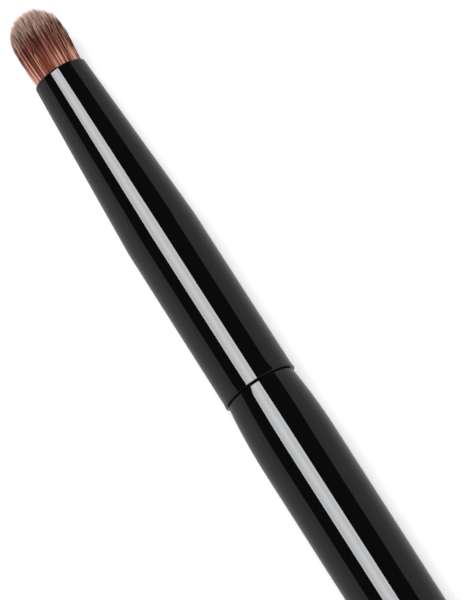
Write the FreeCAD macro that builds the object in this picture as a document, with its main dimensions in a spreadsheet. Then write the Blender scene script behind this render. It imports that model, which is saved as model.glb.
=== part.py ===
import FreeCAD, Part
import math
import os
import Sketcher

# Eyeshadow brush, lying along X with its tuft towards -X and its handle's butt towards +X.
# Every piece is turned about the brush's axis. Inside a body, X is the distance from the tuft's tip
# and Y is the radius; the body's placement then puts the origin in the middle of the handle's barrel,
# where the brush is held. All lengths are millimetres.

doc = FreeCAD.newDocument("eyeshadow_brush")
sheet = doc.addObject("Spreadsheet::Sheet", "Sizes")

sizes = [
    # Tuft: the free hair.
    ("tuft_length", 11.0, "ferrule's mouth to the tip of the hair"),
    ("tuft_diameter", 8.0, "widest part of the hair, where the dome begins"),
    ("bend_rise", 1.2, "height of the bending centre above the mouth"),
    ("heel_clearance", 0.15, "round heel of the hair to the mouth's bore"),
    ("heel_gap", 0.15, "round heel of the hair to the cup in the knot"),
    # Knot: the root of the hair, held inside the ferrule.
    ("knot_recess", 0.5, "top of the knot below the mouth"),
    ("knot_depth", 15.0, "end of the root below the mouth"),
    ("knot_clearance", 0.1, "knot to the mouth's bore"),
    ("waist_draw", 0.3, "how far the binding draws the knot in"),
    ("waist_ramp", 1.0, "length of the slope at each end of the waist"),
    ("root_tail", 2.5, "waist to the end of the root"),
    # Binding: thread wound round the waist.
    ("thread_diameter", 0.35, "waxed thread"),
    ("thread_pitch", 0.8, "one turn to the next"),
    ("thread_turns", 5, "turns of thread"),
    # Resin: potting round and behind the root.
    ("resin_setback", 3.0, "top of the resin below the mouth"),
    ("resin_backing", 3.0, "resin behind the root"),
    # Ferrule: drawn tube, a cone and a nearly straight barrel.
    ("ferrule_length", 55.0, "mouth to rear rim"),
    ("cone_length", 28.0, "mouth to the end of the cone"),
    ("mouth_diameter", 8.2, "outside, at the mouth"),
    ("shoulder_diameter", 11.1, "outside, where the cone ends"),
    ("rear_diameter", 11.2, "outside, at the rear rim"),
    ("ferrule_wall", 0.4, "wall of the tube"),
    ("mouth_round", 0.25, "rounding of the mouth's outer edge"),
    ("rim_flare", 0.07, "how far the rear rim is rolled out"),
    ("flare_length", 0.9, "length of the rolled-out rim"),
    ("rim_round", 0.12, "rounding of the rear rim's outer edge"),
    ("shoulder_blend", 1.1, "half the length of the rounding where the cone meets the barrel"),
    # Handle: turned wood.
    ("handle_length", 84.0, "rear rim of the ferrule to the butt"),
    ("barrel_diameter", 11.9, "straight barrel of the handle"),
    ("seam_gap", 0.15, "rear rim of the ferrule to the handle's shoulder"),
    ("neck_diameter", 10.6, "front of the handle's nose, at the seam"),
    ("nose_length", 10.4, "shoulder to the barrel"),
    ("barrel_length", 28.0, "straight stretch of the barrel"),
    ("butt_radius", 3.0, "round end of the handle"),
    ("tenon_setback", 5.0, "end of the ferrule's cone to the front of the tenon"),
    ("tenon_chamfer", 0.8, "lead-in on the tenon's front edge"),
    ("groove_width", 1.2, "glue groove in the tenon"),
    ("groove_depth", 0.3, "glue groove in the tenon"),
    ("groove_count", 3, "glue grooves, spread evenly along the tenon"),
    # Adhesive and fits.
    ("glue_thickness", 0.22, "tenon to the ferrule's bore"),
    ("fit", 0.02, "between pieces that are glued or potted together"),
]
for row, (alias, value, meaning) in enumerate(sizes, start=1):
    sheet.set(f"A{row}", alias)
    sheet.set(f"B{row}", str(value))
    sheet.setAlias(f"B{row}", alias)
    sheet.set(f"C{row}", meaning)
doc.recompute()

# Places along the axis and radii that several pieces share, as expressions of the sheet's names.
mouth = "Sizes.tuft_length"
shoulder = f"({mouth} + Sizes.cone_length)"
seam = f"({mouth} + Sizes.ferrule_length)"
butt = f"({seam} + Sizes.handle_length)"
neck = f"({seam} + Sizes.seam_gap)"
nose_end = f"({neck} + Sizes.nose_length)"
grip = f"({nose_end} + Sizes.barrel_length / 2)"
mouth_bore = "(Sizes.mouth_diameter / 2 - Sizes.ferrule_wall)"
shoulder_bore = "(Sizes.shoulder_diameter / 2 - Sizes.ferrule_wall)"
rear_bore = "(Sizes.rear_diameter / 2 - Sizes.ferrule_wall)"


def cone_bore(depth):
    """Radius of the ferrule's bore at a depth below the mouth, inside the cone."""
    return f"({mouth_bore} + ({shoulder_bore} - {mouth_bore}) * ({depth}) / Sizes.cone_length)"


def barrel_bore(place):
    """Radius of the ferrule's bore at a place along the axis, inside its barrel."""
    share = f"({place} - {shoulder}) / ({seam} - {shoulder})"
    return f"({shoulder_bore} + ({rear_bore} - {shoulder_bore}) * {share})"


def number(expression):
    """What an expression of the sheet's names comes to now."""
    return float(sheet.evalExpression(expression))


def new_body(label):
    """An empty body, placed so that the origin is in the middle of the handle's barrel."""
    body = doc.addObject("PartDesign::Body", label)
    body.Label = label
    body.setExpression("Placement.Base.x", f"-{grip}")
    return body


def new_sketch(body, name):
    """A sketch on the body's XY plane: the brush's axis runs along the sketch's horizontal."""
    sketch = body.newObject("Sketcher::SketchObject", name)
    plane = next(f for f in body.Origin.OriginFeatures if f.Role == "XY_Plane")
    sketch.AttachmentSupport = (plane, [""])
    sketch.MapMode = "FlatFace"
    return sketch


def constrain(sketch, name, kind, edge, end, expression):
    """Ties the distance of one point from the sketch's origin to an expression."""
    limit = Sketcher.Constraint(kind, -1, 1, edge, end, number(expression))
    index = sketch.addConstraint(limit)
    sketch.renameConstraint(index, name)
    sketch.setExpression(f"Constraints.{name}", expression)


def arc_centre(first, second, bend):
    """Centre of an arc between two corners: on the axis, or straight below one of the corners."""
    (ax, ay), (bx, by) = first, second
    if bend == "centre on axis":
        return (bx * bx + by * by - ax * ax - ay * ay) / (2 * (bx - ax)), 0.0
    if bend == "level at start":
        return ax, ((bx - ax) ** 2 + by * by - ay * ay) / (2 * (by - ay))
    return bx, ((bx - ax) ** 2 + ay * ay - by * by) / (2 * (ay - by))


def draw_edge(sketch, first, second, bend):
    """Adds a line, or an arc with its bend, and returns it with its ends at the two corners."""
    a = FreeCAD.Vector(*first, 0)
    b = FreeCAD.Vector(*second, 0)
    if bend is None:
        return sketch.addGeometry(Part.LineSegment(a, b)), 1, 2
    centre = FreeCAD.Vector(*arc_centre(first, second, bend), 0)
    start, stop = a - centre, b - centre
    forward = start.cross(stop).z > 0
    if not forward:
        start, stop = stop, start
    angles = math.atan2(start.y, start.x), math.atan2(stop.y, stop.x)
    circle = Part.Circle(centre, FreeCAD.Vector(0, 0, 1), start.Length)
    edge = sketch.addGeometry(Part.ArcOfCircle(circle, *angles))
    begin, end = (1, 2) if forward else (2, 1)
    if bend == "centre on axis":
        sketch.addConstraint(Sketcher.Constraint("PointOnObject", edge, 3, -1))
    else:
        level = begin if bend == "level at start" else end
        sketch.addConstraint(Sketcher.Constraint("Vertical", edge, 3, edge, level))
    return edge, begin, end


def draw_outline(sketch, corners):
    """Closes an outline through corners of (name, place, radius, bend of the edge that follows)."""
    points = [(number(place), number(radius)) for _, place, radius, _ in corners]
    edges = []
    for i, (name, place, radius, bend) in enumerate(corners):
        following = points[(i + 1) % len(points)]
        edge, begin, end = draw_edge(sketch, points[i], following, bend)
        edges.append((edge, begin, end))
        if place == "0":
            sketch.addConstraint(Sketcher.Constraint("PointOnObject", edge, begin, -2))
        else:
            constrain(sketch, f"{name}_place", "DistanceX", edge, begin, place)
        if radius == "0":
            sketch.addConstraint(Sketcher.Constraint("PointOnObject", edge, begin, -1))
        else:
            constrain(sketch, f"{name}_radius", "DistanceY", edge, begin, radius)
    for i, (edge, _, end) in enumerate(edges):
        after, begin, _ = edges[(i + 1) % len(edges)]
        sketch.addConstraint(Sketcher.Constraint("Coincident", edge, end, after, begin))


def turn(body, kind, name, corners):
    """A Revolution or a Groove of an outline, all the way round the brush's axis."""
    sketch = new_sketch(body, f"{name}_outline")
    draw_outline(sketch, corners)
    feature = body.newObject(f"PartDesign::{kind}", name)
    feature.Profile = sketch
    feature.ReferenceAxis = (sketch, ["H_Axis"])
    feature.Angle = 360
    sketch.Visibility = False
    return feature


def repeat_along_axis(body, feature, name, count, length):
    """Copies a turned feature along the brush's axis."""
    pattern = body.newObject("PartDesign::LinearPattern", name)
    pattern.Originals = [feature]
    pattern.Direction = (feature.Profile[0], ["H_Axis"])
    pattern.setExpression("Occurrences", count)
    pattern.setExpression("Length", length)
    body.Tip = pattern
    return pattern


def round_edge(body, feature, name, place, radius, rounding):
    """Fillets the circular edge at a place along the axis and a radius."""
    doc.recompute()
    shape = feature.Shape
    spot = FreeCAD.Vector(number(place), 0, 0)
    wanted = number(radius)
    miss = []
    for i, edge in enumerate(shape.Edges, start=1):
        if isinstance(edge.Curve, Part.Circle):
            miss.append((edge.Curve.Center.distanceToPoint(spot) + abs(edge.Curve.Radius - wanted), i))
    fillet = body.newObject("PartDesign::Fillet", name)
    fillet.Base = (feature, [f"Edge{min(miss)[1]}"])
    fillet.setExpression("Radius", rounding)
    feature.Visibility = False
    return fillet


# Bristle tuft: a domed, slightly barrelled bundle of hair. Its heel is a ball about the bending
# centre, so that the tuft can lean without touching the knot or the mouth.
bend_centre = f"({mouth} - Sizes.bend_rise)"
tuft_radius = "Sizes.tuft_diameter / 2"
heel_radius = f"({mouth_bore} - Sizes.heel_clearance)"
bristle_tuft = new_body("bristle_tuft")
turn(bristle_tuft, "Revolution", "tuft_turning", [
    ("tip", "0", "0", "centre on axis"),
    ("dome_end", tuft_radius, tuft_radius, "level at start"),
    ("heel_top", bend_centre, heel_radius, "centre on axis"),
    ("heel_bottom", f"{bend_centre} + {heel_radius}", "0", None),
])

# Bristle knot: the root of the bundle, drawn in at the waist by the binding. The hollow in its top
# is the curved surface to which the resin has soaked up.
cup_radius = f"({heel_radius} + Sizes.heel_gap)"
cup_depth = "(Sizes.knot_recess + Sizes.bend_rise)"
knot_top = f"({mouth} + Sizes.knot_recess)"
knot_radius = f"({mouth_bore} - Sizes.knot_clearance)"
waist_radius = f"({knot_radius} - Sizes.waist_draw)"
root_end = f"({mouth} + Sizes.knot_depth)"
waist_end = f"({root_end} - Sizes.root_tail)"
waist_start = f"({waist_end} - Sizes.thread_pitch * (Sizes.thread_turns + 1))"
bristle_knot = new_body("bristle_knot")
turn(bristle_knot, "Revolution", "knot_turning", [
    ("cup_bottom", f"{bend_centre} + {cup_radius}", "0", "centre on axis"),
    ("cup_rim", knot_top, f"sqrt({cup_radius}^2 - {cup_depth}^2)", None),
    ("top", knot_top, knot_radius, None),
    ("ramp_in", f"{waist_start} - Sizes.waist_ramp", knot_radius, None),
    ("waist_in", waist_start, waist_radius, None),
    ("waist_out", waist_end, waist_radius, None),
    ("ramp_out", f"{waist_end} + Sizes.waist_ramp", knot_radius, None),
    ("root_edge", root_end, knot_radius, None),
    ("root_middle", root_end, "0", None),
])

# Root binding: thread wound round the waist of the knot, centred on it.
thread_radius = "Sizes.thread_diameter / 2"
root_binding = new_body("root_binding")
thread_section = new_sketch(root_binding, "thread_section")
first_turn = f"{waist_start} + Sizes.thread_pitch / 2"
wound_radius = f"{waist_radius} + Sizes.fit + {thread_radius}"
thread_middle = FreeCAD.Vector(number(first_turn), number(wound_radius), 0)
section_circle = Part.Circle(thread_middle, FreeCAD.Vector(0, 0, 1), number(thread_radius))
thread_edge = thread_section.addGeometry(section_circle)
constrain(thread_section, "first_turn", "DistanceX", thread_edge, 3, first_turn)
constrain(thread_section, "wound_radius", "DistanceY", thread_edge, 3, wound_radius)
limit = Sketcher.Constraint("Radius", thread_edge, number(thread_radius))
thread_section.renameConstraint(thread_section.addConstraint(limit), "thread_radius")
thread_section.setExpression("Constraints.thread_radius", thread_radius)
winding = root_binding.newObject("PartDesign::AdditiveHelix", "winding")
winding.Profile = thread_section
winding.ReferenceAxis = (thread_section, ["H_Axis"])
winding.Mode = "pitch-turns-angle"
winding.setExpression("Pitch", "Sizes.thread_pitch")
winding.setExpression("Turns", "Sizes.thread_turns")
thread_section.Visibility = False

# Resin plug: fills the cone round the root, with a ring-shaped room for the binding, and closes it
# off behind.
resin_end = f"({root_end} + Sizes.resin_backing)"
root_hole = f"{knot_radius} + Sizes.fit"
binding_room = f"{waist_radius} + Sizes.thread_diameter + 2 * Sizes.fit"
resin_plug = new_body("resin_plug")
turn(resin_plug, "Revolution", "resin_turning", [
    ("top_inner", f"{mouth} + Sizes.resin_setback", root_hole, None),
    ("top_outer", f"{mouth} + Sizes.resin_setback", f"{cone_bore('Sizes.resin_setback')} - Sizes.fit", None),
    ("back_outer", resin_end, f"{cone_bore(f'{resin_end} - {mouth}')} - Sizes.fit", None),
    ("back_middle", resin_end, "0", None),
    ("floor_middle", f"{root_end} + Sizes.fit", "0", None),
    ("floor_edge", f"{root_end} + Sizes.fit", root_hole, None),
    ("room_out_low", waist_end, root_hole, None),
    ("room_out_high", waist_end, binding_room, None),
    ("room_in_high", waist_start, binding_room, None),
    ("room_in_low", waist_start, root_hole, None),
])

# Ferrule: one tube with an even wall, rounded at the mouth, the shoulder and the rear rim, which is
# rolled out a little.
blend_in = f"({shoulder} - Sizes.shoulder_blend)"
blend_out = f"({shoulder} + Sizes.shoulder_blend)"
flare_in = f"({seam} - Sizes.flare_length)"
rim_radius = "(Sizes.rear_diameter / 2 + Sizes.rim_flare)"
ferrule = new_body("ferrule")
tube = turn(ferrule, "Revolution", "tube_turning", [
    ("mouth_inner", mouth, mouth_bore, None),
    ("mouth_outer", mouth, "Sizes.mouth_diameter / 2", None),
    ("blend_in", blend_in, f"{cone_bore(f'{blend_in} - {mouth}')} + Sizes.ferrule_wall", "level at end"),
    ("blend_out", blend_out, f"{barrel_bore(blend_out)} + Sizes.ferrule_wall", None),
    ("flare_in", flare_in, f"{barrel_bore(flare_in)} + Sizes.ferrule_wall", None),
    ("rim_outer", seam, rim_radius, None),
    ("rim_inner", seam, rear_bore, None),
    ("shoulder_inner", shoulder, shoulder_bore, None),
])
mouth_rounding = round_edge(
    ferrule, tube, "mouth_rounding", mouth, "Sizes.mouth_diameter / 2", "Sizes.mouth_round"
)
round_edge(ferrule, mouth_rounding, "rim_rounding", seam, rim_radius, "Sizes.rim_round")

# Handle: one turned piece. The tail is an arc that leaves the barrel level and runs smoothly into
# the round butt, so its radius and the point where the two arcs meet follow from the other sizes.
tenon_front = f"({shoulder} + Sizes.tenon_setback)"
tenon_radius = f"({rear_bore} - Sizes.glue_thickness)"
barrel_end = f"({nose_end} + Sizes.barrel_length)"
barrel_radius = "(Sizes.barrel_diameter / 2)"
tail_run = f"({butt} - Sizes.butt_radius - {barrel_end})"
tail_drop = f"({barrel_radius} - Sizes.butt_radius)"
tail_radius = f"(({tail_run}^2 + {barrel_radius}^2 - Sizes.butt_radius^2) / (2 * {tail_drop}))"
meeting_share = f"(Sizes.butt_radius / ({tail_radius} - Sizes.butt_radius))"
handle = new_body("handle")
turn(handle, "Revolution", "handle_turning", [
    ("tenon_middle", tenon_front, "0", None),
    ("chamfer_in", tenon_front, f"{tenon_radius} - Sizes.tenon_chamfer", None),
    ("chamfer_out", f"{tenon_front} + Sizes.tenon_chamfer", tenon_radius, None),
    ("shoulder_inner", neck, tenon_radius, None),
    ("shoulder_outer", neck, "Sizes.neck_diameter / 2", "level at end"),
    ("nose_end", nose_end, barrel_radius, None),
    ("barrel_end", barrel_end, barrel_radius, "level at start"),
    (
        "tail_end",
        f"{butt} - Sizes.butt_radius + {tail_run} * {meeting_share}",
        f"({tail_radius} - {barrel_radius}) * {meeting_share}",
        "centre on axis",
    ),
    ("butt", butt, "0", None),
])
groove_pitch = f"(({neck} - {tenon_front}) / (Sizes.groove_count + 1))"
groove_span = f"{groove_pitch} * (Sizes.groove_count - 1)"
groove_start = f"{tenon_front} + {groove_pitch} - Sizes.groove_width / 2"
groove_stop = f"{tenon_front} + {groove_pitch} + Sizes.groove_width / 2"
groove_floor = f"({tenon_radius} - Sizes.groove_depth)"
glue_groove = turn(handle, "Groove", "glue_groove", [
    ("floor_start", groove_start, groove_floor, None),
    ("mouth_start", groove_start, rear_bore, None),
    ("mouth_stop", groove_stop, rear_bore, None),
    ("floor_stop", groove_stop, groove_floor, None),
])
repeat_along_axis(handle, glue_groove, "glue_grooves", "Sizes.groove_count", groove_span)

# Tenon glue: a thin sleeve from the tenon's front to the shoulder, keyed into the tenon's grooves.
glue_start = f"({tenon_front} + Sizes.tenon_chamfer)"
glue_inner = f"{tenon_radius} + Sizes.fit"
tenon_glue = new_body("tenon_glue")
turn(tenon_glue, "Revolution", "sleeve_turning", [
    ("front_inner", glue_start, glue_inner, None),
    ("front_outer", glue_start, f"{barrel_bore(glue_start)} - Sizes.fit", None),
    ("rear_outer", seam, f"{rear_bore} - Sizes.fit", None),
    ("rear_inner", seam, glue_inner, None),
])
glue_key = turn(tenon_glue, "Revolution", "glue_key", [
    ("tip_start", f"{groove_start} + Sizes.fit", f"{groove_floor} + Sizes.fit", None),
    ("root_start", f"{groove_start} + Sizes.fit", f"{glue_inner} + Sizes.fit", None),
    ("root_stop", f"{groove_stop} - Sizes.fit", f"{glue_inner} + Sizes.fit", None),
    ("tip_stop", f"{groove_stop} - Sizes.fit", f"{groove_floor} + Sizes.fit", None),
])
repeat_along_axis(tenon_glue, glue_key, "glue_keys", "Sizes.groove_count", groove_span)

doc.recompute()
for item in doc.Objects:
    if "Invalid" in item.State or "Error" in item.State:
        raise RuntimeError(f"{item.Label} did not build: {item.State}")

os.makedirs("parts", exist_ok=True)
for body in (bristle_tuft, bristle_knot, root_binding, resin_plug, ferrule, tenon_glue, handle):
    shape = body.Shape
    if shape.isNull() or not shape.isValid() or len(shape.Solids) != 1:
        raise RuntimeError(f"{body.Label} is not one sound solid")
    shape.exportStep(f"parts/{body.Label}.step")
    print(f"{body.Label}: {shape.Volume:.2f} mm3")
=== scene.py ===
import math

import bmesh
import bpy
from mathutils import Matrix, Vector


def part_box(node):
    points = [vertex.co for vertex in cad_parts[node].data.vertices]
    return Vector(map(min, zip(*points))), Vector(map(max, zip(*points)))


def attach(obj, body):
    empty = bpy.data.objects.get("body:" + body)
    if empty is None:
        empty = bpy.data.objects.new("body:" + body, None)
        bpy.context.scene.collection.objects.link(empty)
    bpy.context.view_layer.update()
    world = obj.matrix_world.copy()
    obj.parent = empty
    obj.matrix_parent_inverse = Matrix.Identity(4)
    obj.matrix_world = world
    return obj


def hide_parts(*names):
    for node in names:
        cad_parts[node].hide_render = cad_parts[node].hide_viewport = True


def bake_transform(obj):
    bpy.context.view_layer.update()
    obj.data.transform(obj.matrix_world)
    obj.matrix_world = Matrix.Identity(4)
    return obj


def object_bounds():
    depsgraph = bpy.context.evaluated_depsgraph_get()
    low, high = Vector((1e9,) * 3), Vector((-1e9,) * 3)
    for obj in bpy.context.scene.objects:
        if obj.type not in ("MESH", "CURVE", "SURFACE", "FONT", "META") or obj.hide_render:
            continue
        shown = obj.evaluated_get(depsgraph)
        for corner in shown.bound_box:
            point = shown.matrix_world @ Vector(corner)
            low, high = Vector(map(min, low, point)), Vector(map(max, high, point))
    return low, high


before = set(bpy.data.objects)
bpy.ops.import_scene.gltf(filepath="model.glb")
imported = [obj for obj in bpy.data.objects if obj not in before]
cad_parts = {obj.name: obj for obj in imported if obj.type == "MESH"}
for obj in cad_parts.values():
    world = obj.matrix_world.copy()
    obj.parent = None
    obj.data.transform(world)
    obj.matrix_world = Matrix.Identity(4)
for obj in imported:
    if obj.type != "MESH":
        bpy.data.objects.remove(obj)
cad_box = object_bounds()

# Hair tuft: a few thousand natural hairs, dyed brown and bundled with their own fine tips outwards, so
# that the tips make a soft dome. The roots are set in the ferrule, and the hair above its mouth bends.
MM = 0.001
tuft_low, tuft_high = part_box("bristle_tuft")
axis_z = (tuft_low.z + tuft_high.z) / 2
tip_x = tuft_low.x
mouth_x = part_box("ferrule")[0].x
hair_inset = 0.05 * MM
hair_sides = 3
tone_steps = 16
# A real hair is about half as thick, which is too fine to show by itself in the picture.
hair_sizes = {
    "Hairs": 3600,
    "Points per Hair": 9,
    "Hair Thickness": 0.15 * MM,
    "Thickness Spread": 0.35,
    "Tip Thickness": 0.08,
    "Taper Start": 0.6,
    "Tip Place": tip_x,
    "Mouth Place": mouth_x,
    "Root Depth": 0.4 * MM,
    "Axis Height": axis_z,
    "Widest Radius": (tuft_high.z - tuft_low.z) / 2 - hair_inset,
    "Mouth Radius": 3.62 * MM,
    "Uneven Tips": 2.2 * MM,
    "Clump Width": 0.6 * MM,
    "Clump Pull": 0.4 * MM,
    "Waviness": 0.4 * MM,
    "Stray Reach": 0.5 * MM,
    "Lie to One Side": 0.25 * MM,
}


def linear(colour):
    """The linear colour of an sRGB hex value."""
    parts = [int(colour[i:i + 2], 16) / 255 for i in (1, 3, 5)]
    return [c / 12.92 if c <= 0.04045 else ((c + 0.055) / 1.055) ** 2.4 for c in parts] + [1.0]


def feed(tree, node, inputs):
    """Fills a node's inputs, by name or number, each with a value or from a node or socket."""
    for name, value in inputs.items():
        sockets = [s for s in node.inputs if s.enabled]
        socket = sockets[name] if isinstance(name, int) else next(s for s in sockets if s.name == name)
        if isinstance(value, bpy.types.Node):
            value = next(s for s in value.outputs if s.enabled)
        if isinstance(value, bpy.types.NodeSocket):
            tree.links.new(value, socket)
        else:
            socket.default_value = value


def add(tree, kind, inputs=None, stops=None, **settings):
    """Adds a node with its settings and inputs. A colour ramp has stops of places and colours."""
    node = tree.nodes.new(kind)
    for name, value in settings.items():
        setattr(node, name, value)
    feed(tree, node, inputs or {})
    if stops:
        marks = node.color_ramp.elements
        marks.remove(marks[1])
        for place, colour in stops.items():
            mark = marks[0] if place == min(stops) else marks.new(place)
            mark.position = place
            mark.color = linear(colour)
    return node


def new_finish(name, **values):
    """A material with its shader's constant values, and the tree and shader to build its pattern on."""
    finish = bpy.data.materials.new(name)
    finish.use_nodes = True
    shader = finish.node_tree.nodes["Principled BSDF"]
    for socket, value in values.items():
        shader.inputs[socket.replace("_", " ")].default_value = value
    return finish, finish.node_tree, shader


# Dyed natural hair gives the eye satin strands from maroon to tan. Along each hair the colour is darkest
# halfway up, painted shade where the hairs lie closest, and warmer and lighter at the roots, partly painted
# light where the hair there catches the lamp. The tips are cream: partly their own pale colour, where the
# dye hardly takes, and partly painted light shining through the thin tips. The brighter hairs, a random
# share, are pale further down, which makes the streaks on the dome, and their pale colour also stands in for
# thin painted highlights along the strands.
shortest_pale_tip, longest_pale_tip = 0.05, 0.18
hair, tree, shader = new_finish("dyed_natural_hair", Roughness=0.45, IOR=1.55, Specular_IOR_Level=0.08)
tone = add(tree, "ShaderNodeAttribute", attribute_name="tone").outputs["Fac"]
above_mouth = add(tree, "ShaderNodeAttribute", attribute_name="above_mouth").outputs["Fac"]
below_tip = add(tree, "ShaderNodeAttribute", attribute_name="below_tip").outputs["Fac"]
# Darker hairs from root to tip: the dip halfway up is painted shade, the lift at the roots partly painted
# light.
deep = add(tree, "ShaderNodeValToRGB", {"Fac": above_mouth}, stops={
    0.0: "#924834", 0.15: "#863D2C", 0.3: "#682A1D", 0.45: "#521F15", 0.62: "#4C1D15", 0.75: "#5A2A1F",
    0.9: "#743C2C", 1.0: "#B47E64",
})
# Brighter hairs from root to tip, with the same painted shade halfway up; their pale cream is partly painted
# highlight.
bright = add(tree, "ShaderNodeValToRGB", {"Fac": above_mouth}, stops={
    0.0: "#FFD6BE", 0.15: "#FAC2A8", 0.3: "#DA9C84", 0.45: "#BE826E", 0.62: "#CE8E74", 0.75: "#FFC2A6",
    0.9: "#FFD8C0", 1.0: "#FFEADA",
})
brightness = add(tree, "ShaderNodeMapRange", {"Value": tone, "From Min": 0.5, "From Max": 1.0},
                 interpolation_type="SMOOTHSTEP")
# Darker and brighter hairs mixed by tone, carrying the painted shade halfway up and painted light at the
# roots.
dye_and_painted_light = add(tree, "ShaderNodeMix", {
    "Factor": brightness, "A": deep.outputs["Color"], "B": bright.outputs["Color"],
}, data_type="RGBA")
pale_length = add(tree, "ShaderNodeMapRange", {
    "Value": tone, "From Min": 0.3, "From Max": 0.6, "To Min": shortest_pale_tip,
    "To Max": longest_pale_tip,
}, interpolation_type="SMOOTHSTEP")
paleness = add(tree, "ShaderNodeMapRange", {
    "Value": below_tip, "From Min": 0.0, "From Max": pale_length, "To Min": 1.0, "To Max": 0.0,
}, interpolation_type="SMOOTHSTEP")
# Cream tips: partly the hair's own pale colour, partly painted light shining through the thin tips.
coloured = add(tree, "ShaderNodeMix", {"Factor": paleness, "A": dye_and_painted_light, "B": linear("#FFE2CC")},
               data_type="RGBA")
feed(tree, shader, {"Base Color": coloured})

# The bundle as a rule: roots spread over the mouth, hairs that swell to the widest place, and tips on
# the dome, drawn together in clumps, with a few strays. Powers make short and stray hairs rare, and
# say how late a hair bends and the bundle narrows.
short_power, stray_power = 1.6, 14.0
bend_power, narrowing_power = 2.0, 2.0
waves_per_hair = 3.0
noise_middle = (0.5, 0.5, 0.5)
tree = bpy.data.node_groups.new("hair_bundle", "GeometryNodeTree")
for name, value in hair_sizes.items():
    kind = "NodeSocketInt" if isinstance(value, int) else "NodeSocketFloat"
    tree.interface.new_socket(name, in_out="INPUT", socket_type=kind)
tree.interface.new_socket("Hair", in_out="OUTPUT", socket_type="NodeSocketGeometry")
given = add(tree, "NodeGroupInput").outputs

# Each hair stands a golden angle on from the one before and a little further out, so that they cover
# the mouth evenly.
points = add(tree, "GeometryNodePoints", {"Count": given["Hairs"]})
turn_jitter = 0.25
chances = {"spread": 1.0, "turn": turn_jitter, "shade": 1.0, "reach": 1.0, "girth": 1.0, "stray": 1.0}
golden_angle = math.pi * (3 - math.sqrt(5))
number = add(tree, "GeometryNodeInputIndex")
for seed, (name, most) in enumerate(chances.items(), start=1):
    drawn = add(tree, "FunctionNodeRandomValue", {"Min": 0.0, "Max": most, "Seed": seed}, data_type="FLOAT")
    if name == "spread":
        drawn = add(tree, "ShaderNodeMath", {0: number, 1: drawn}, operation="ADD")
        drawn = add(tree, "ShaderNodeMath", {0: drawn, 1: given["Hairs"]}, operation="DIVIDE")
    if name == "turn":
        drawn = add(tree, "ShaderNodeMath", {0: number, 1: golden_angle, 2: drawn}, operation="MULTIPLY_ADD")
    points = add(tree, "GeometryNodeStoreNamedAttribute", {"Geometry": points, "Name": name, "Value": drawn},
                 data_type="FLOAT", domain="POINT")
straight = add(tree, "GeometryNodeCurvePrimitiveLine", {"Start": (0, 0, 0), "End": (MM, 0, 0)})
straight = add(tree, "GeometryNodeResampleCurve", {"Curve": straight, "Count": given["Points per Hair"]})
placed = add(tree, "GeometryNodeInstanceOnPoints", {"Points": points, "Instance": straight})
hairs = add(tree, "GeometryNodeRealizeInstances", {"Geometry": placed})
own = {name: add(tree, "GeometryNodeInputNamedAttribute", {"Name": name}, data_type="FLOAT")
       for name in chances}
along = add(tree, "GeometryNodeSplineParameter").outputs["Factor"]

share = add(tree, "ShaderNodeMath", {0: own["spread"]}, operation="SQRT")
inside = add(tree, "ShaderNodeMath", {0: 1.0, 1: own["spread"]}, operation="SUBTRACT")
inside = add(tree, "ShaderNodeMath", {0: inside}, operation="SQRT")
drop = add(tree, "ShaderNodeMath", {0: 1.0, 1: inside}, operation="SUBTRACT")
dome = add(tree, "ShaderNodeMath", {0: drop, 1: given["Widest Radius"], 2: given["Tip Place"]},
           operation="MULTIPLY_ADD")
short = add(tree, "ShaderNodeMath", {0: own["reach"], 1: short_power}, operation="POWER")
tip = add(tree, "ShaderNodeMath", {0: short, 1: given["Uneven Tips"], 2: dome}, operation="MULTIPLY_ADD")
root = add(tree, "ShaderNodeMath", {0: given["Mouth Place"], 1: given["Root Depth"]}, operation="ADD")
place = add(tree, "ShaderNodeMapRange", {"Value": along, "To Min": root, "To Max": tip})
widest_place = add(tree, "ShaderNodeMath", {0: given["Tip Place"], 1: given["Widest Radius"]},
                   operation="ADD")
narrowing = add(tree, "ShaderNodeMapRange", {
    "Value": place, "From Min": widest_place, "From Max": given["Mouth Place"],
})
narrowing = add(tree, "ShaderNodeMath", {0: narrowing, 1: narrowing_power}, operation="POWER")
bundle = add(tree, "ShaderNodeMapRange", {
    "Value": narrowing, "To Min": given["Widest Radius"], "To Max": given["Mouth Radius"],
})
radius = add(tree, "ShaderNodeMath", {0: bundle, 1: share}, operation="MULTIPLY")
straying = add(tree, "ShaderNodeMath", {0: own["stray"], 1: stray_power}, operation="POWER")
bent = add(tree, "ShaderNodeMath", {0: along, 1: bend_power}, operation="POWER")
straying = add(tree, "ShaderNodeMath", {0: straying, 1: bent}, operation="MULTIPLY")
radius = add(tree, "ShaderNodeMath", {0: straying, 1: given["Stray Reach"], 2: radius},
             operation="MULTIPLY_ADD")
across = add(tree, "ShaderNodeMath", {0: own["turn"]}, operation="COSINE")
upward = add(tree, "ShaderNodeMath", {0: own["turn"]}, operation="SINE")
outward = add(tree, "ShaderNodeCombineXYZ", {"Y": across, "Z": upward})
from_axis = add(tree, "ShaderNodeVectorMath", {0: outward, "Scale": radius}, operation="SCALE")
leaning = add(tree, "ShaderNodeMath", {0: bent, 1: given["Lie to One Side"]}, operation="MULTIPLY")
on_axis = add(tree, "ShaderNodeCombineXYZ", {"X": place, "Y": leaning, "Z": given["Axis Height"]})
spot = add(tree, "ShaderNodeVectorMath", {0: from_axis, 1: on_axis}, operation="ADD")

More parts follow.
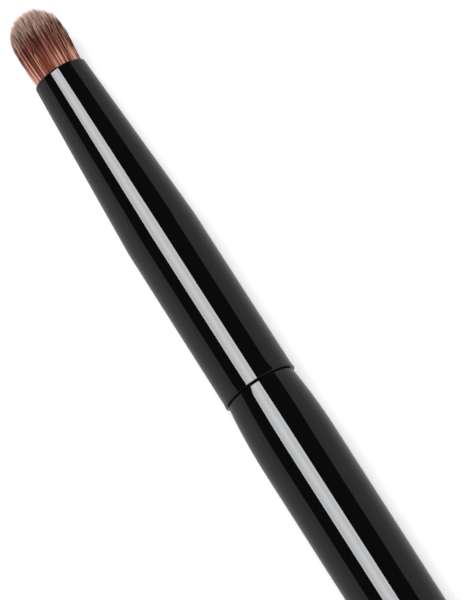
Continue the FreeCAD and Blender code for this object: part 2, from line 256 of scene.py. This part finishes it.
rooted = add(tree, "ShaderNodeMath", {0: share, 1: given["Widest Radius"]}, operation="MULTIPLY")
rooted = add(tree, "ShaderNodeVectorMath", {0: outward, "Scale": rooted}, operation="SCALE")
fineness = add(tree, "ShaderNodeMath", {0: 1.0, 1: given["Clump Width"]}, operation="DIVIDE")
clump = add(tree, "ShaderNodeTexNoise", {"Vector": rooted, "Scale": fineness, "Detail": 1.0})
pull = add(tree, "ShaderNodeVectorMath", {0: clump.outputs["Color"], 1: noise_middle},
           operation="SUBTRACT")
strength = add(tree, "ShaderNodeMath", {0: bent, 1: given["Clump Pull"]}, operation="MULTIPLY")
pull = add(tree, "ShaderNodeVectorMath", {0: pull, "Scale": strength}, operation="SCALE")
own_wave = add(tree, "ShaderNodeCombineXYZ", {"X": along, "Y": own["shade"], "Z": own["reach"]})
wave = add(tree, "ShaderNodeTexNoise", {"Vector": own_wave, "Scale": waves_per_hair, "Detail": 0.0})
sway = add(tree, "ShaderNodeVectorMath", {0: wave.outputs["Color"], 1: noise_middle},
           operation="SUBTRACT")
sway_size = add(tree, "ShaderNodeMath", {0: along, 1: given["Waviness"]}, operation="MULTIPLY")
sway = add(tree, "ShaderNodeVectorMath", {0: sway, "Scale": sway_size}, operation="SCALE")
offset = add(tree, "ShaderNodeVectorMath", {0: pull, 1: sway}, operation="ADD")
hairs = add(tree, "GeometryNodeSetPosition", {"Geometry": hairs, "Position": spot, "Offset": offset})

# What the colours follow: the hair's own tone in a few steps, and how far a point is from the mouth and
# from the tip, as shares of the longest hair.
longest = add(tree, "ShaderNodeMath", {0: given["Mouth Place"], 1: given["Tip Place"]},
              operation="SUBTRACT")
length = add(tree, "ShaderNodeMath", {0: given["Mouth Place"], 1: dome}, operation="SUBTRACT")
length = add(tree, "ShaderNodeMath", {0: length, 1: longest}, operation="DIVIDE")
above = add(tree, "ShaderNodeMath", {0: along, 1: length}, operation="MULTIPLY")
below = add(tree, "ShaderNodeMath", {0: length, 1: above}, operation="SUBTRACT")
stepped = add(tree, "ShaderNodeMath", {0: own["shade"], 1: float(tone_steps)}, operation="MULTIPLY")
stepped = add(tree, "ShaderNodeMath", {0: stepped}, operation="FLOOR")
tone = add(tree, "ShaderNodeMath", {0: stepped, 1: float(tone_steps - 1)}, operation="DIVIDE")
for name, value in {"tone": tone, "above_mouth": above, "below_tip": below, "along": along}.items():
    hairs = add(tree, "GeometryNodeStoreNamedAttribute", {"Geometry": hairs, "Name": name, "Value": value},
                data_type="FLOAT", domain="POINT")
taper = add(tree, "ShaderNodeMapRange", {
    "Value": along, "From Min": given["Taper Start"], "To Min": 1.0, "To Max": given["Tip Thickness"],
})
thinnest = add(tree, "ShaderNodeMath", {0: 1.0, 1: given["Thickness Spread"]}, operation="SUBTRACT")
thickest = add(tree, "ShaderNodeMath", {0: 1.0, 1: given["Thickness Spread"]}, operation="ADD")
girth = add(tree, "ShaderNodeMapRange", {"Value": own["girth"], "To Min": thinnest, "To Max": thickest})
half_thickness = add(tree, "ShaderNodeMath", {0: given["Hair Thickness"], 1: 0.5}, operation="MULTIPLY")
thickness = add(tree, "ShaderNodeMath", {0: taper, 1: girth}, operation="MULTIPLY")
thickness = add(tree, "ShaderNodeMath", {0: thickness, 1: half_thickness}, operation="MULTIPLY")
section = add(tree, "GeometryNodeCurvePrimitiveCircle", {"Resolution": hair_sides, "Radius": 1.0})
side = add(tree, "GeometryNodeInputIndex")
section = add(tree, "GeometryNodeStoreNamedAttribute", {"Geometry": section, "Name": "side", "Value": side},
              data_type="FLOAT", domain="POINT")
strands = add(tree, "GeometryNodeCurveToMesh", {
    "Curve": hairs, "Profile Curve": section, "Scale": thickness, "Fill Caps": True,
})
strands = add(tree, "GeometryNodeSetShadeSmooth", {"Geometry": strands, "Shade Smooth": True})

# A map of the hair's colours, in which every hair lies in the column of its tone and its place in the
# bundle, so that a texture baked through it keeps them all. Its sizes are shares of a column.
map_start, map_end, map_side = 0.04, 0.84, 0.06
kept = {name: add(tree, "GeometryNodeInputNamedAttribute", {"Name": name}, data_type="FLOAT")
        for name in ("tone", "spread", "side", "along")}
column = add(tree, "ShaderNodeMath", {0: kept["tone"], 1: float(tone_steps - 1)}, operation="MULTIPLY")
within = add(tree, "ShaderNodeMapRange", {"Value": kept["spread"], "To Min": map_start, "To Max": map_end})
column = add(tree, "ShaderNodeMath", {0: column, 1: within}, operation="ADD")
column = add(tree, "ShaderNodeMath", {0: kept["side"], 1: map_side, 2: column}, operation="MULTIPLY_ADD")
column = add(tree, "ShaderNodeMath", {0: column, 1: float(tone_steps)}, operation="DIVIDE")
spot_on_map = add(tree, "ShaderNodeCombineXYZ", {"X": column, "Y": kept["along"]})
strands = add(tree, "GeometryNodeStoreNamedAttribute", {
    "Geometry": strands, "Name": "OFBake", "Value": spot_on_map,
}, data_type="FLOAT2", domain="CORNER")
strands = add(tree, "GeometryNodeRealizeInstances", {"Geometry": strands})
strands = add(tree, "GeometryNodeSetMaterial", {"Geometry": strands, "Material": hair})
add(tree, "NodeGroupOutput", {"Hair": strands})


def put(name, data):
    """A new object of a mesh, lamp or camera in the scene."""
    item = bpy.data.objects.new(name, data)
    bpy.context.scene.collection.objects.link(item)
    return item


def grown(name, tree, sizes):
    """A plain mesh object from a Geometry Nodes tree with its sizes."""
    piece = put(name, bpy.data.meshes.new(name))
    growth = piece.modifiers.new("growth", "NODES")
    growth.node_group = tree
    for socket in tree.interface.items_tree:
        if socket.name in sizes:
            growth[socket.identifier] = sizes[socket.name]
    seen = piece.evaluated_get(bpy.context.evaluated_depsgraph_get())
    mesh = bpy.data.meshes.new_from_object(seen)
    piece.modifiers.clear()
    piece.data = mesh
    mesh.name = name
    return piece


tuft_hair = grown("tuft_hair", tree, hair_sizes)
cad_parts["bristle_tuft"].material_slots[0].material = hair
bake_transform(tuft_hair)
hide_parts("bristle_tuft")

# Knot: the root of the same bundle, squeezed together by its binding and stuck fast in the ferrule.
# Resin that soaked in between the hairs makes it dark and hard.


def lengthwise(tree, length, width, detail=2.0):
    """A noise of patches with a length along the brush and a width across it."""
    where = add(tree, "ShaderNodeTexCoord").outputs["Object"]
    stretched = add(tree, "ShaderNodeMapping", {
        "Vector": where, "Scale": (1 / length, 1 / width, 1 / width),
    })
    return add(tree, "ShaderNodeTexNoise", {"Vector": stretched, "Scale": 1.0, "Detail": detail})


# Hair set in resin shows close dark lines along the brush, with a dull gloss between them.
knot_line_length, knot_line_width = 6.0 * MM, 0.15 * MM
set_hair, tree, shader = new_finish("resin_set_hair", IOR=1.55)
lines = lengthwise(tree, knot_line_length, knot_line_width)
soaked = add(tree, "ShaderNodeValToRGB", {"Fac": lines}, stops={
    0.3: "#2E1712", 0.55: "#54301F", 0.75: "#7A4B36",
})
gloss = add(tree, "ShaderNodeMapRange", {"Value": lines, "To Min": 0.5, "To Max": 0.25})
ridges = add(tree, "ShaderNodeBump", {"Strength": 0.5, "Distance": 0.05 * MM, "Height": lines})
feed(tree, shader, {"Base Color": soaked, "Roughness": gloss, "Normal": ridges})
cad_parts["bristle_knot"].material_slots[0].material = set_hair

# Binding: a few turns of waxed linen thread round the knot's waist, wound on before the bundle is
# dropped into the ferrule.
# Waxed linen gives pale twisted strands with a low sheen, and brown specks of flax.
twist_pitch, flax_speck = 0.3 * MM, 0.1 * MM
thread, tree, shader = new_finish("waxed_linen_thread", IOR=1.5)
where = add(tree, "ShaderNodeTexCoord").outputs["Object"]
twist = add(tree, "ShaderNodeTexWave", {
    "Vector": where, "Scale": 1 / twist_pitch / (2 * math.pi), "Distortion": 1.5, "Detail": 1.0,
}, bands_direction="DIAGONAL").outputs["Fac"]
flax = add(tree, "ShaderNodeTexNoise", {"Vector": where, "Scale": 1 / flax_speck, "Detail": 2.0})
linen = add(tree, "ShaderNodeValToRGB", {"Fac": flax}, stops={
    0.28: "#9C8A68", 0.42: "#CFC4A8", 0.7: "#E2D9C2",
})
waxy = add(tree, "ShaderNodeMapRange", {"Value": twist, "To Min": 0.65, "To Max": 0.45})
ply = add(tree, "ShaderNodeBump", {"Strength": 0.6, "Distance": 0.04 * MM, "Height": twist})
feed(tree, shader, {"Base Color": linen, "Roughness": waxy, "Normal": ply})
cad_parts["root_binding"].material_slots[0].material = thread

# Resin plug: two-part epoxy, poured into the ferrule round and behind the root, which it locks into
# the cone as it sets.
# Cast epoxy is amber and glassy, cloudier in places, with small trapped bubbles.
cloud_size, bubble_size = 2.0 * MM, 0.6 * MM
resin, tree, shader = new_finish("cast_epoxy", IOR=1.55)
where = add(tree, "ShaderNodeTexCoord").outputs["Object"]
clouds = add(tree, "ShaderNodeTexNoise", {"Vector": where, "Scale": 1 / cloud_size, "Detail": 3.0})
amber = add(tree, "ShaderNodeValToRGB", {"Fac": clouds}, stops={
    0.3: "#B98A45", 0.5: "#D9B066", 0.7: "#E6C58A",
})
bubbles = add(tree, "ShaderNodeTexVoronoi", {"Vector": where, "Scale": 1 / bubble_size})
pits = add(tree, "ShaderNodeMapRange", {
    "Value": bubbles.outputs["Distance"], "From Min": 0.08, "From Max": 0.2,
}, interpolation_type="SMOOTHSTEP")
glassy = add(tree, "ShaderNodeMapRange", {"Value": pits, "To Min": 0.4, "To Max": 0.12})
pitted = add(tree, "ShaderNodeBump", {"Strength": 0.4, "Distance": 0.05 * MM, "Height": pits})
feed(tree, shader, {"Base Color": amber, "Roughness": glassy, "Normal": pitted})
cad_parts["resin_plug"].material_slots[0].material = resin

# Ferrule: a drawn aluminium tube, a cone that runs into a nearly straight barrel, with its rear rim
# rolled out a little. It is sprayed black outside, left bare inside, and glued on the handle's tenon.
cone_length = 28.0 * MM
mouth_radius = 4.1 * MM
shoulder_radius = 5.55 * MM
rear_radius = 5.6 * MM
wall = 0.4 * MM
mouth_round = 0.25 * MM
shoulder_blend = 1.1 * MM
rim_flare = 0.07 * MM
flare_length = 0.9 * MM
rim_round = 0.12 * MM
mouth_land_share = 0.02
blend_segments = 12
fine_step, long_step = 0.1 * MM, 1.0 * MM
merge_distance = 0.0002 * MM
sharp_edge = math.radians(35)
seam_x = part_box("ferrule")[1].x
shoulder_x = mouth_x + cone_length


def straight_run(start, stop, step):
    """Points from start towards stop, evenly spaced and about a step apart, without stop itself."""
    start, stop = Vector(start), Vector(stop)
    count = max(1, round((stop - start).length / step))
    return [start.lerp(stop, i / count) for i in range(count)]


def arc(centre, start, stop, count):
    """Points on the arc from start to stop about a centre, the shorter way round, with both ends."""
    centre = Vector(centre)
    first, last = Vector(start) - centre, Vector(stop) - centre
    sweep = first.angle_signed(last)
    return [centre + Matrix.Rotation(-sweep * i / count, 2) @ first for i in range(count + 1)]


def rounded(before, corner, after, rounding, count=6):
    """The arc that rounds a corner of an outline."""
    corner = Vector(corner)
    back, on = (Vector(before) - corner).normalized(), (Vector(after) - corner).normalized()
    half = back.angle(on) / 2
    reach = rounding / math.tan(half)
    centre = corner + (back + on).normalized() * (rounding / math.sin(half))
    return arc(centre, corner + back * reach, corner + on * reach, count)


def level_arc(start, stop, level_at, count):
    """The arc between two points of an outline that runs level at one of them."""
    level, other = Vector(level_at), Vector(stop if level_at == start else start)
    run, rise = other.x - level.x, other.y - level.y
    return arc((level.x, level.y + (run * run + rise * rise) / (2 * rise)), start, stop, count)


def turned(name, outline, sides=192, closed=False):
    """An object of an outline of places along the axis and radii, turned about the brush's axis."""
    form = bmesh.new()
    corners = [form.verts.new((p[0], 0, axis_z + p[1])) for p in outline]
    following = corners[1:] + corners[:1] if closed else corners[1:]
    edges = [form.edges.new(pair) for pair in zip(corners, following)]
    bmesh.ops.spin(form, geom=corners + edges, cent=(0, 0, axis_z), axis=(1, 0, 0),
                   angle=2 * math.pi, steps=sides, use_merge=True)
    bmesh.ops.remove_doubles(form, verts=form.verts, dist=merge_distance)
    bmesh.ops.recalc_face_normals(form, faces=form.faces)
    mesh = bpy.data.meshes.new(name)
    form.to_mesh(mesh)
    form.free()
    mesh.shade_smooth()
    mesh.set_sharp_from_angle(angle=sharp_edge)
    return put(name, mesh)


cone_slope = (shoulder_radius - mouth_radius) / cone_length
barrel_slope = (rear_radius - shoulder_radius) / (seam_x - shoulder_x)
mouth_inner = (mouth_x, mouth_radius - wall)
mouth_outer = (mouth_x, mouth_radius)
blend_in = (shoulder_x - shoulder_blend, shoulder_radius - cone_slope * shoulder_blend)
blend_out = (shoulder_x + shoulder_blend, shoulder_radius + barrel_slope * shoulder_blend)
flare_in = (seam_x - flare_length, rear_radius - barrel_slope * flare_length)
rim_outer = (seam_x, rear_radius + rim_flare)
rim_inner = (seam_x, rear_radius - wall)
shoulder_inner = (shoulder_x, shoulder_radius - wall)
mouth_curve = rounded(mouth_inner, mouth_outer, blend_in, mouth_round)
mouth_land = mouth_curve[-1].lerp(Vector(blend_in), mouth_land_share)
rim_curve = rounded(flare_in, rim_outer, rim_inner, rim_round)
tube = turned("ferrule_tube", [
    *straight_run(mouth_inner, mouth_curve[0], fine_step),
    *mouth_curve[:-1],
    *straight_run(mouth_curve[-1], mouth_land, fine_step),
    *straight_run(mouth_land, blend_in, long_step),
    *level_arc(blend_in, blend_out, blend_out, blend_segments)[:-1],
    *straight_run(blend_out, flare_in, long_step),
    *straight_run(flare_in, rim_curve[0], fine_step),
    *rim_curve[:-1],
    *straight_run(rim_curve[-1], rim_inner, fine_step),
    *straight_run(rim_inner, shoulder_inner, long_step),
    *straight_run(shoulder_inner, mouth_inner, long_step),
], closed=True)


def black_lacquer(name, length, width):
    """Black lacquer, whose gloss wavers over patches with a length along the brush and a width."""
    finish, tree, shader = new_finish(name, Base_Color=linear("#040405"), IOR=1.5)
    levelling = lengthwise(tree, length, width)
    sheen = add(tree, "ShaderNodeMapRange", {"Value": levelling, "To Min": 0.02, "To Max": 0.06})
    waver = add(tree, "ShaderNodeBump", {"Strength": 0.015, "Distance": 0.02 * MM, "Height": levelling})
    feed(tree, shader, {"Roughness": sheen, "Normal": waver})
    return finish


# Sprayed black lacquer gives a deep wet gloss, whose reflections waver a little where the coat has
# levelled unevenly.
levelling_size = 4.0 * MM
sprayed = black_lacquer("black_lacquer_on_aluminium", levelling_size, levelling_size)

# Bare drawn aluminium inside: bright, with fine lines along the draw.
draw_line_length, draw_line_width = 20.0 * MM, 0.2 * MM
bare, tree, shader = new_finish("bare_drawn_aluminium", Base_Color=linear("#C9CACC"), Metallic=1.0)
lines = lengthwise(tree, draw_line_length, draw_line_width)
rubbed = add(tree, "ShaderNodeMapRange", {"Value": lines, "To Min": 0.25, "To Max": 0.45})
feed(tree, shader, {"Roughness": rubbed})

tube.data.materials.append(sprayed)
tube.data.materials.append(bare)
for face in tube.data.polygons:
    outwards = face.normal.dot(face.center - Vector((face.center.x, 0, axis_z)))
    face.material_index = 1 if outwards < 0 else 0
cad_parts["ferrule"].material_slots[0].material = sprayed
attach(tube, "brush")
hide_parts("ferrule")

# Glue: the sleeve of adhesive that holds the handle's tenon in the ferrule. It fills the grooves in the
# tenon.
# The dark line at the bottom of the seam is the shade in the gap, and the black of the glue seen through the
# gap is partly painted shade that deepens it. Set epoxy glue is dull and a little lumpy where it was
# squeezed out.
lump_size = 0.8 * MM
glue, tree, shader = new_finish("black_epoxy_glue", IOR=1.5)
where = add(tree, "ShaderNodeTexCoord").outputs["Object"]
lumps = add(tree, "ShaderNodeTexNoise", {"Vector": where, "Scale": 1 / lump_size, "Detail": 3.0})
# Near-black, partly painted shade for the seam's gap.
tinted = add(tree, "ShaderNodeValToRGB", {"Fac": lumps}, stops={0.3: "#060606", 0.7: "#131211"})
dull = add(tree, "ShaderNodeMapRange", {"Value": lumps, "To Min": 0.7, "To Max": 0.5})
lumpy = add(tree, "ShaderNodeBump", {"Strength": 0.4, "Distance": 0.05 * MM, "Height": lumps})
feed(tree, shader, {"Base Color": tinted, "Roughness": dull, "Normal": lumpy})
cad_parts["tenon_glue"].material_slots[0].material = glue

# Handle: one turned piece of birch with a tenon that is glued into the ferrule, a rounded nose, a
# straight barrel and a tail that tapers to a round butt. All but the tenon is dipped in black lacquer.
seam_width = 0.15 * MM
neck_x = seam_x + seam_width
neck_radius = 5.3 * MM
neck_round = 0.12 * MM
nose_length = 10.4 * MM
barrel_length = 28.0 * MM
butt_radius = 3.0 * MM
tenon_radius = 4.98 * MM
tenon_chamfer = 0.8 * MM
groove_width = 1.2 * MM
groove_depth = 0.3 * MM
groove_count = 3
lacquer_overlap = 0.8 * MM
nose_segments, tail_segments, butt_segments = 60, 70, 24
handle_low, handle_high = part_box("handle")
tenon_x, butt_x = handle_low.x, handle_high.x
barrel_radius = (handle_high.z - handle_low.z) / 2
nose_end = (neck_x + nose_length, barrel_radius)
barrel_end = (nose_end[0] + barrel_length, barrel_radius)
tail_run = butt_x - butt_radius - barrel_end[0]
tail_radius = (tail_run ** 2 + barrel_radius ** 2 - butt_radius ** 2) / (2 * (barrel_radius - butt_radius))
meeting = butt_radius / (tail_radius - butt_radius)
tail_end = (butt_x - butt_radius + tail_run * meeting, (tail_radius - barrel_radius) * meeting)
neck_outer = (neck_x, neck_radius)
nose = level_arc(neck_outer, nose_end, nose_end, nose_segments)
neck_curve = rounded((neck_x, tenon_radius), neck_outer, nose[1], neck_round)
groove_pitch = (neck_x - tenon_x) / (groove_count + 1)
tenon = [(tenon_x, 0), (tenon_x, tenon_radius - tenon_chamfer), (tenon_x + tenon_chamfer, tenon_radius)]
for i in range(groove_count):
    middle = tenon_x + groove_pitch * (i + 1)
    for edge in (middle - groove_width / 2, middle + groove_width / 2):
        depths = (0, groove_depth) if edge < middle else (groove_depth, 0)
        tenon += [(edge, tenon_radius - depth) for depth in depths]
turned_handle = turned("turned_handle", [
    *tenon,
    (neck_x - lacquer_overlap, tenon_radius),
    (neck_x, tenon_radius),
    *neck_curve,
    *[p for p in nose if p.x > neck_curve[-1].x + fine_step / 2][:-1],
    *straight_run(nose_end, barrel_end, long_step),
    *level_arc(barrel_end, tail_end, barrel_end, tail_segments)[:-1],
    *arc((butt_x - butt_radius, 0), tail_end, (butt_x, 0), butt_segments),
])

# Dipped black lacquer on wood: the same wet gloss, thicker, with a faint lengthwise waver where the
# grain still shows through the coats.
grain_length, grain_width = 12.0 * MM, 3.0 * MM
dipped = black_lacquer("black_lacquer_on_wood", grain_length, grain_width)

# Bare birch on the tenon: pale, with fine brown grain lines along the handle.
fibre_length, fibre_width = 9.0 * MM, 0.5 * MM
birch, tree, shader = new_finish("bare_birch", Roughness=0.7)
lines = lengthwise(tree, fibre_length, fibre_width, detail=4.0)
wood = add(tree, "ShaderNodeValToRGB", {"Fac": lines}, stops={
    0.3: "#B58D5E", 0.55: "#D9BB8C", 0.75: "#E6CFA6",
})
feed(tree, shader, {"Base Color": wood})

turned_handle.data.materials.append(dipped)
turned_handle.data.materials.append(birch)
for face in turned_handle.data.polygons:
    face.material_index = 1 if face.center.x < neck_x - lacquer_overlap else 0
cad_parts["handle"].material_slots[0].material = dipped
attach(turned_handle, "brush")
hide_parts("handle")

# Floor: one sheet of white paper under the brush. It is white to the lens, mirrors as a pale grey in
# the lacquer, and keeps the brush's own faint shadow.
floor_reach = 3.0
floor_z = cad_box[0][2]
paper_white, paper_mirrored = "#F2F2F2", "#ADADAD"
paper_glow = 0.34
mirrored_share = 0.34
paper = bpy.data.materials.new("white_paper")
paper.use_nodes = True
tree = paper.node_tree
tree.nodes.clear()
rays = add(tree, "ShaderNodeLightPath").outputs
seen = add(tree, "ShaderNodeMath", {0: rays["Is Camera Ray"], 1: rays["Is Transmission Ray"]},
           operation="ADD")
seen = add(tree, "ShaderNodeMath", {0: rays["Is Glossy Ray"], 1: mirrored_share, 2: seen},
           operation="MULTIPLY_ADD", use_clamp=True)
glow = add(tree, "ShaderNodeMath", {0: seen, 1: paper_glow}, operation="MULTIPLY")
lit = add(tree, "ShaderNodeEmission", {"Strength": glow})
shade = add(tree, "ShaderNodeMix", {
    "Factor": rays["Is Glossy Ray"], "A": linear(paper_white), "B": linear(paper_mirrored),
}, data_type="RGBA")
matt = add(tree, "ShaderNodeBsdfDiffuse", {"Color": shade})
both = add(tree, "ShaderNodeAddShader", {0: lit, 1: matt})
add(tree, "ShaderNodeOutputMaterial", {"Surface": both})
sheet = bpy.data.meshes.new("paper_sheet")
sheet_sides = [(-1, -1), (1, -1), (1, 1), (-1, 1)]
sheet_corners = [(x * floor_reach, y * floor_reach, floor_z) for x, y in sheet_sides]
sheet.from_pydata(sheet_corners, [], [(0, 1, 2, 3)])
sheet.materials.append(paper)
floor = put("paper_sheet", sheet)

# Light: one large softbox, level above the brush and to its left, makes the long reflection. Its face
# is a little brighter in the middle and at its edges, and it lights matt surfaces less than it mirrors.
# A dim lamp on the right fills the shadows, and doesn't show in the lacquer.
softbox_height = 0.8
softbox_from, softbox_to = Vector((-0.5, -0.63)), Vector((-0.13, -0.02))
softbox_radiance, softbox_on_matt = 25.0, 0.78
softbox_size = softbox_to - softbox_from
lamp = bpy.data.lights.new("softbox", "AREA")
lamp.shape = "RECTANGLE"
lamp.size, lamp.size_y = softbox_size
lamp.energy = softbox_radiance * math.pi * lamp.size * lamp.size_y
lamp.diffuse_factor = softbox_on_matt
lamp.use_nodes = True
tree = lamp.node_tree
on_face = add(tree, "ShaderNodeSeparateXYZ", {0: add(tree, "ShaderNodeNewGeometry").outputs["Parametric"]})
face_tone = add(tree, "ShaderNodeValToRGB", {"Fac": on_face.outputs["Y"]}, stops={
    0.0: "#BDBEC0", 0.07: "#B9BABC", 0.2: "#ADAEB0", 0.38: "#BDBEC0", 0.6: "#C7C8CA", 0.8: "#B5B6B8",
    0.92: "#BDBEC0", 1.0: "#C7C8CA",
})
feed(tree, tree.nodes["Emission"], {"Color": face_tone})
softbox = put("softbox", lamp)
softbox_middle = (softbox_from + softbox_to) / 2
softbox.location = (seam_x + softbox_middle.x, softbox_middle.y, axis_z + softbox_height)
fill_width, fill_radiance = 1.0, 0.9
fill_place = Vector((0.2, 0.7, 0.8))
lamp = bpy.data.lights.new("fill", "AREA")
lamp.size = fill_width
lamp.energy = fill_radiance * math.pi * fill_width ** 2
fill = put("fill", lamp)
fill.location = Vector((seam_x, 0, axis_z)) + fill_place
fill.rotation_euler = fill_place.to_track_quat("Z", "Y").to_euler()
fill.visible_glossy = False
fill.visible_camera = False

# The room: pale walls low on both sides make the grey edges, under a dark ceiling. A wall's top edge is
# straight, so it is given by the direction square to the plane from the brush to that edge.
wall_glow, ceiling_glow = 0.55, 0.05
right_wall_edge, left_wall_edge = (-1.1, -1.25, 1.0), (0.0, 0.29, 1.0)
edge_softness = 0.025
studio = bpy.data.worlds.new("studio")
studio.use_nodes = True
bpy.context.scene.world = studio
tree = studio.node_tree
looking = add(tree, "ShaderNodeTexCoord").outputs["Generated"]
over_right = add(tree, "ShaderNodeVectorMath", {0: looking, 1: right_wall_edge}, operation="DOT_PRODUCT")
over_left = add(tree, "ShaderNodeVectorMath", {0: looking, 1: left_wall_edge}, operation="DOT_PRODUCT")
over = add(tree, "ShaderNodeMath", {0: over_right, 1: over_left}, operation="MINIMUM")
room = add(tree, "ShaderNodeMapRange", {
    "Value": over, "From Min": -edge_softness, "From Max": edge_softness, "To Min": wall_glow,
    "To Max": ceiling_glow,
}, interpolation_type="SMOOTHSTEP")
rays = add(tree, "ShaderNodeLightPath").outputs
backdrop = add(tree, "ShaderNodeMix", {"Factor": rays["Is Camera Ray"], "A": room, "B": 1.0},
               data_type="FLOAT")
feed(tree, tree.nodes["Background"], {"Color": linear("#FFFFFF"), "Strength": backdrop})

# Camera: the photograph's view, from above and a little towards the butt.
azimuth, elevation = math.radians(58.61), math.radians(72.28)
camera_distance = 1.0
focal_length_mm = 424.92
aim_right, aim_up = -4.158 * MM, 12.482 * MM
right = Vector((math.cos(azimuth), math.sin(azimuth), 0))
level_back = Vector((math.sin(azimuth), -math.cos(azimuth), 0))
back = level_back * math.cos(elevation) + Vector((0, 0, math.sin(elevation)))
up = back.cross(right)
lens = bpy.data.cameras.new("photo_view")
lens.lens = focal_length_mm
lens.clip_start, lens.clip_end = 0.01, 20
camera = put("photo_view", lens)
aim = Vector((seam_x, 0, axis_z)) + right * aim_right + up * aim_up
facing = Matrix((right, up, back)).transposed().to_4x4()
camera.matrix_world = Matrix.Translation(aim + back * camera_distance) @ facing
bpy.context.scene.camera = camera
bpy.context.scene.view_settings.view_transform = "Standard"
